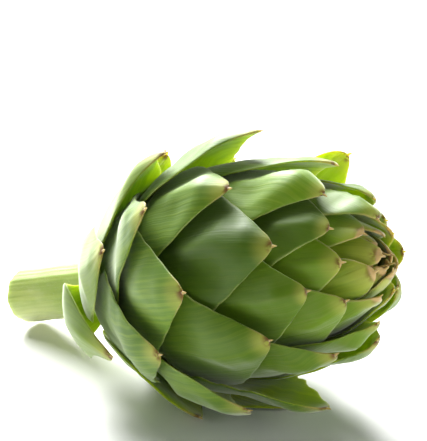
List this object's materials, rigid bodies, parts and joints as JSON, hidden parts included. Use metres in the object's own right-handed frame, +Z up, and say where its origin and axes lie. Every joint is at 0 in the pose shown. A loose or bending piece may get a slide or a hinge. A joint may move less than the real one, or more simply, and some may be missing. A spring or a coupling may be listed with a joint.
{
  "type": "artichoke",
  "caption": "Fresh globe artichoke lying on its side: a round head of overlapping green pointed bracts with small spines, and a short cut stem.",
  "frame": {"origin": "centre of the bounding box's bottom face, on the surface that the artichoke lies on", "axes": "+Z up, +X along the ground under the head's axis towards its tip; the tip is raised"},
  "size_m": [0.1692, 0.0984, 0.0997],
  "materials": {
    "stem_green": "matt, softly ribbed",
    "outer_bract_green": "satin, waxy bloom",
    "bract_green": "satin, waxy bloom",
    "inner_bract_green": "satin"
  },
  "bodies": {
    "root": {"stem_and_heart": "stem_green", "bract_00": "outer_bract_green", "bract_01": "outer_bract_green", "bract_02": "outer_bract_green", "bract_03": "outer_bract_green", "bract_04": "outer_bract_green", "bract_05": "outer_bract_green", "bract_06": "outer_bract_green", "bract_07": "outer_bract_green", "bract_08": "bract_green", "bract_09": "bract_green", "bract_10": "bract_green", "bract_11": "bract_green", "bract_12": "bract_green", "bract_13": "bract_green", "bract_14": "bract_green", "bract_15": "bract_green", "bract_16": "bract_green", "bract_17": "bract_green", "bract_18": "bract_green", "bract_19": "bract_green", "bract_20": "bract_green", "bract_21": "bract_green", "bract_22": "bract_green", "bract_23": "bract_green", "bract_24": "bract_green", "bract_25": "bract_green", "bract_26": "bract_green", "bract_27": "bract_green", "bract_28": "bract_green", "bract_29": "bract_green", "bract_30": "bract_green", "bract_31": "bract_green", "bract_32": "bract_green", "bract_33": "bract_green", "bract_34": "bract_green", "bract_35": "bract_green", "bract_36": "bract_green", "bract_37": "bract_green", "bract_38": "bract_green", "bract_39": "bract_green", "bract_40": "bract_green", "bract_41": "bract_green", "inner_bud": "inner_bract_green"}
  },
  "joints": []
}
